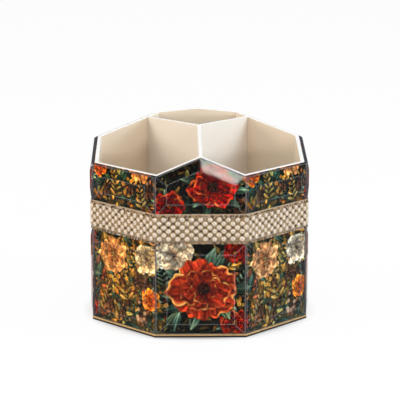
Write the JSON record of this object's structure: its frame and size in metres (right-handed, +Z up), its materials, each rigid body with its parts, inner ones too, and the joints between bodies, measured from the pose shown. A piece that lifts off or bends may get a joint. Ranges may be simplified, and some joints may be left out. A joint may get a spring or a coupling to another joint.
{
  "type": "rotating makeup brush holder",
  "caption": "Octagonal revolving holder for makeup brushes, clad in bevelled glass over a floral print with a pearl belt, with upright compartments.",
  "frame": {"origin": "on the table, under the axis it turns about", "axes": "+Z up along the turning axis, -Y towards the gabled front face, +X to the right seen from the front"},
  "size_m": [0.1516, 0.1516, 0.1331],
  "materials": {
    "white_board": "ivory-white lacquered fibreboard",
    "bevelled_glass": "clear polished glass with ground bevels",
    "floor_felt": "cream felt",
    "floral_print": "dark painterly floral print, satin",
    "lead_trim": "dull grey metal-effect seam",
    "gold_trim": "antique gold edging",
    "gold_mesh": "gold thread mesh",
    "gold_lace": "gold lace braid",
    "pearl": "pearlescent ivory",
    "race_steel": "zinc-plated pressed steel",
    "screw_steel": "zinc-plated steel",
    "nylon": "natural nylon",
    "ball_steel": "polished hardened steel",
    "black_base": "fine-textured black",
    "foot_rubber": "soft black rubber"
  },
  "bodies": {
    "base": {"base_disc": "black_base", "rubber_feet": "foot_rubber", "lower_race": "race_steel", "lower_race_screws": "screw_steel", "spindle": "screw_steel", "spindle_washer": "screw_steel", "spindle_nut": "screw_steel"},
    "ball_ring": {"ball_cage": "nylon", "bearing_balls": "ball_steel"},
    "caddy": {"wall_front": "white_board", "upper_glass_front": "bevelled_glass", "lower_glass_front": "bevelled_glass", "wall_front_right": "white_board", "upper_glass_front_right": "bevelled_glass", "lower_glass_front_right": "bevelled_glass", "wall_right": "white_board", "upper_glass_right": "bevelled_glass", "lower_glass_right": "bevelled_glass", "wall_rear_right": "white_board", "upper_glass_rear_right": "bevelled_glass", "lower_glass_rear_right": "bevelled_glass", "wall_rear": "white_board", "upper_glass_rear": "bevelled_glass", "lower_glass_rear": "bevelled_glass", "wall_rear_left": "white_board", "upper_glass_rear_left": "bevelled_glass", "lower_glass_rear_left": "bevelled_glass", "wall_left": "white_board", "upper_glass_left": "bevelled_glass", "lower_glass_left": "bevelled_glass", "wall_front_left": "white_board", "upper_glass_front_left": "bevelled_glass", "lower_glass_front_left": "bevelled_glass", "divider_front": "white_board", "divider_left": "white_board", "divider_right": "white_board", "floor_pad_left": "floor_felt", "floor_pad_right": "floor_felt", "floor_pad_rear": "floor_felt", "floor_board": "white_board", "print_wrap": "floral_print", "corner_beads_upper": "lead_trim", "corner_beads_lower": "lead_trim", "base_trim": "gold_trim", "belt_ribbon": "gold_mesh", "belt_lace_top": "gold_lace", "belt_lace_bottom": "gold_lace", "belt_pearls": "pearl", "upper_race": "race_steel", "upper_race_screws": "screw_steel", "pivot_bush": "nylon"}
  },
  "joints": [
    {"name": "caddy_spin", "type": "hinge", "parent": "base", "child": "caddy", "pos_m": [0, 0, 0.012], "axis": [0, 0, 1], "continuous": true},
    {"name": "ball_ring_spin", "type": "hinge", "parent": "base", "child": "ball_ring", "pos_m": [0, 0, 0.0085], "axis": [0, 0, 1], "continuous": true}
  ],
  "couplings": [
    {"joint": "ball_ring_spin", "follows": "caddy_spin", "ratio": 0.5}
  ]
}
